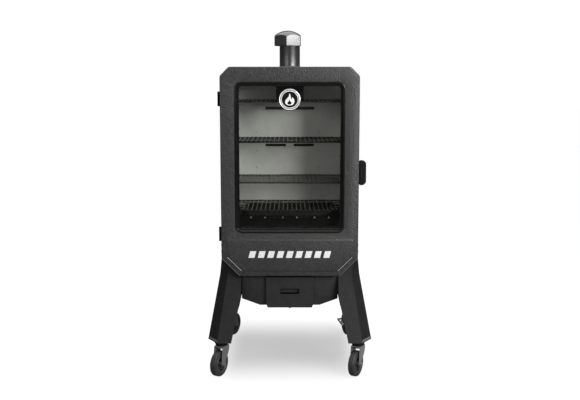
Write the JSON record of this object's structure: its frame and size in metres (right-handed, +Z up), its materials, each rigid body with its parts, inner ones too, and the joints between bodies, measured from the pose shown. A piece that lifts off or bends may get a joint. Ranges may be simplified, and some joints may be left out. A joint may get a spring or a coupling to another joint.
{
  "type": "pellet smoker grill",
  "caption": "Upright wood-pellet smoker: glazed side-hinged door, wire racks, chimney, rear pellet hopper with auger and fan, splayed legs on swivel casters.",
  "frame": {"origin": "on the floor under the middle of the smoker, at the bottom centre of its box", "axes": "+Z up, the door faces -Y, +X to the right as one faces the door"},
  "size_m": [0.704, 0.7108, 1.467],
  "materials": {
    "powder_coat": "hammered powder coat, satin",
    "satin_black": "satin black powder coat",
    "gloss_black": "gloss enamel",
    "matte_black": "matte heat-proof paint",
    "steel_liner": "rolled steel sheet",
    "galvanised": "zinc plated",
    "bright_metal": "polished",
    "porcelain_wire": "porcelain enamel",
    "glass": "clear tempered",
    "gasket": "woven glass-fibre rope",
    "plastic": "moulded",
    "rubber": "moulded tyre"
  },
  "bodies": {
    "cabinet": {"cabinet_shell": "powder_coat", "inner_liner": "steel_liner", "back_panel": "steel_liner", "rear_panel": "powder_coat", "flue_box": "matte_black", "chimney_pipe": "gloss_black", "heat_baffle": "matte_black", "burn_pot": "steel_liner", "igniter_rod": "galvanised", "auger_tube": "galvanised", "auger_motor": "galvanised", "fan_housing": "galvanised", "firebox": "satin_black", "hopper_housing": "satin_black", "hopper_bin": "galvanised", "hopper_grille": "galvanised", "lid_hinge": "satin_black", "control_housing": "plastic", "power_inlet": "plastic", "temp_probe": "galvanised", "front_legs": "satin_black", "rear_legs": "satin_black", "leg_bolts": "matte_black", "caster_mounts": "matte_black", "cabinet_hinges": "matte_black", "latch_keeper": "matte_black"},
    "door": {"door_skin": "powder_coat", "window_trim": "gloss_black", "door_glass": "glass", "door_liner": "satin_black", "door_gasket": "gasket", "door_badge": "bright_metal", "trim_bars": "bright_metal", "door_hinges": "matte_black", "latch_base": "matte_black"},
    "latch": {"latch_paddle": "matte_black"},
    "rack_1": {"cooking_rack_1": "porcelain_wire"},
    "rack_2": {"cooking_rack_2": "porcelain_wire"},
    "rack_3": {"cooking_rack_3": "porcelain_wire"},
    "rack_4": {"cooking_rack_4": "porcelain_wire"},
    "water_pan": {"water_pan": "porcelain_wire"},
    "drawer": {"grease_drawer": "satin_black"},
    "lid": {"hopper_lid": "satin_black"},
    "purge": {"purge_door": "galvanised"},
    "auger": {"auger_screw": "galvanised"},
    "fan": {"fan_impeller": "galvanised"},
    "knob": {"control_knob": "plastic"},
    "power_button": {"power_button": "plastic"},
    "prime_button": {"prime_button": "plastic"},
    "cap": {"chimney_cap": "gloss_black"},
    "fork_front_left": {"caster_fork_front_left": "galvanised"},
    "wheel_front_left": {"caster_wheel_front_left": "rubber"},
    "fork_front_right": {"caster_fork_front_right": "galvanised"},
    "wheel_front_right": {"caster_wheel_front_right": "rubber"},
    "fork_rear_left": {"caster_fork_rear_left": "galvanised"},
    "wheel_rear_left": {"caster_wheel_rear_left": "rubber"},
    "fork_rear_right": {"caster_fork_rear_right": "galvanised"},
    "wheel_rear_right": {"caster_wheel_rear_right": "rubber"},
    "brake_rear_right": {"caster_brake_rear_right": "galvanised"}
  },
  "joints": [
    {"name": "door_hinge", "type": "hinge", "parent": "cabinet", "child": "door", "pos_m": [-0.2994, -0.18, 0.87], "axis": [0, 0, -1], "range_deg": [0, 120]},
    {"name": "latch_pivot", "type": "hinge", "parent": "door", "child": "latch", "pos_m": [0.3, -0.207, 0.864], "axis": [0, 0, -1], "range_deg": [0, 25], "stiffness_Nm_per_rad": 0.6, "springref_deg": -11.46},
    {"name": "rack_1_slide", "type": "slide", "parent": "cabinet", "child": "rack_1", "axis": [0, -1, 0], "range_m": [0, 0.018]},
    {"name": "rack_2_slide", "type": "slide", "parent": "cabinet", "child": "rack_2", "axis": [0, -1, 0], "range_m": [0, 0.018]},
    {"name": "rack_3_slide", "type": "slide", "parent": "cabinet", "child": "rack_3", "axis": [0, -1, 0], "range_m": [0, 0.018]},
    {"name": "rack_4_slide", "type": "slide", "parent": "cabinet", "child": "rack_4", "axis": [0, -1, 0], "range_m": [0, 0.018]},
    {"name": "water_pan_slide", "type": "slide", "parent": "cabinet", "child": "water_pan", "axis": [0, -1, 0], "range_m": [0, 0.015]},
    {"name": "drawer_slide", "type": "slide", "parent": "cabinet", "child": "drawer", "axis": [0, -1, 0], "range_m": [0, 0.24]},
    {"name": "lid_hinge", "type": "hinge", "parent": "cabinet", "child": "lid", "pos_m": [0, 0.1885, 0.898], "axis": [1, 0, 0], "range_deg": [0, 88]},
    {"name": "purge_slide", "type": "slide", "parent": "cabinet", "child": "purge", "axis": [0, 0, 1], "range_m": [0, 0.07]},
    {"name": "auger_spin", "type": "hinge", "parent": "cabinet", "child": "auger", "pos_m": [0, 0.2, 0.388], "axis": [0, 1, 0], "continuous": true},
    {"name": "fan_spin", "type": "hinge", "parent": "cabinet", "child": "fan", "pos_m": [0, 0.25, 0.312], "axis": [1, 0, 0], "continuous": true},
    {"name": "knob_turn", "type": "hinge", "parent": "cabinet", "child": "knob", "pos_m": [0.236, 0.26, 0.632], "axis": [1, 0, 0], "range_deg": [0, 270]},
    {"name": "power_button_push", "type": "slide", "parent": "cabinet", "child": "power_button", "axis": [-1, 0, 0], "range_m": [0, 0.002], "stiffness_N_per_m": 400, "springref_m": -0.002},
    {"name": "prime_button_push", "type": "slide", "parent": "cabinet", "child": "prime_button", "axis": [-1, 0, 0], "range_m": [0, 0.002], "stiffness_N_per_m": 400, "springref_m": -0.002},
    {"name": "cap_slide", "type": "slide", "parent": "cabinet", "child": "cap", "axis": [0, 0, 1], "range_m": [-0.025, 0.025]},
    {"name": "swivel_front_left", "type": "hinge", "parent": "cabinet", "child": "fork_front_left", "pos_m": [-0.292, -0.276, 0.13], "axis": [0, 0, 1], "continuous": true},
    {"name": "roll_front_left", "type": "hinge", "parent": "fork_front_left", "child": "wheel_front_left", "pos_m": [-0.30199, -0.2956, 0.055], "axis": [-0.891, 0.454, 0], "continuous": true},
    {"name": "swivel_front_right", "type": "hinge", "parent": "cabinet", "child": "fork_front_right", "pos_m": [0.292, -0.276, 0.13], "axis": [0, 0, 1], "continuous": true},
    {"name": "roll_front_right", "type": "hinge", "parent": "fork_front_right", "child": "wheel_front_right", "pos_m": [0.28167, -0.29542, 0.055], "axis": [-0.8829, 0.4695, 0], "continuous": true},
    {"name": "swivel_rear_left", "type": "hinge", "parent": "cabinet", "child": "fork_rear_left", "pos_m": [-0.292, 0.271, 0.13], "axis": [0, 0, 1], "continuous": true},
    {"name": "roll_rear_left", "type": "hinge", "parent": "fork_rear_left", "child": "wheel_rear_left", "pos_m": [-0.28201, 0.2906, 0.055], "axis": [0.891, -0.454, 0], "continuous": true},
    {"name": "swivel_rear_right", "type": "hinge", "parent": "cabinet", "child": "fork_rear_right", "pos_m": [0.292, 0.271, 0.13], "axis": [0, 0, 1], "continuous": true},
    {"name": "roll_rear_right", "type": "hinge", "parent": "fork_rear_right", "child": "wheel_rear_right", "pos_m": [0.28557, 0.29204, 0.055], "axis": [0.9563, 0.2924, 0], "continuous": true},
    {"name": "brake_press_rear_right", "type": "hinge", "parent": "fork_rear_right", "child": "brake_rear_right", "pos_m": [0.28557, 0.29204, 0.055], "axis": [-0.9563, -0.2924, 0], "range_deg": [0, 12]}
  ]
}
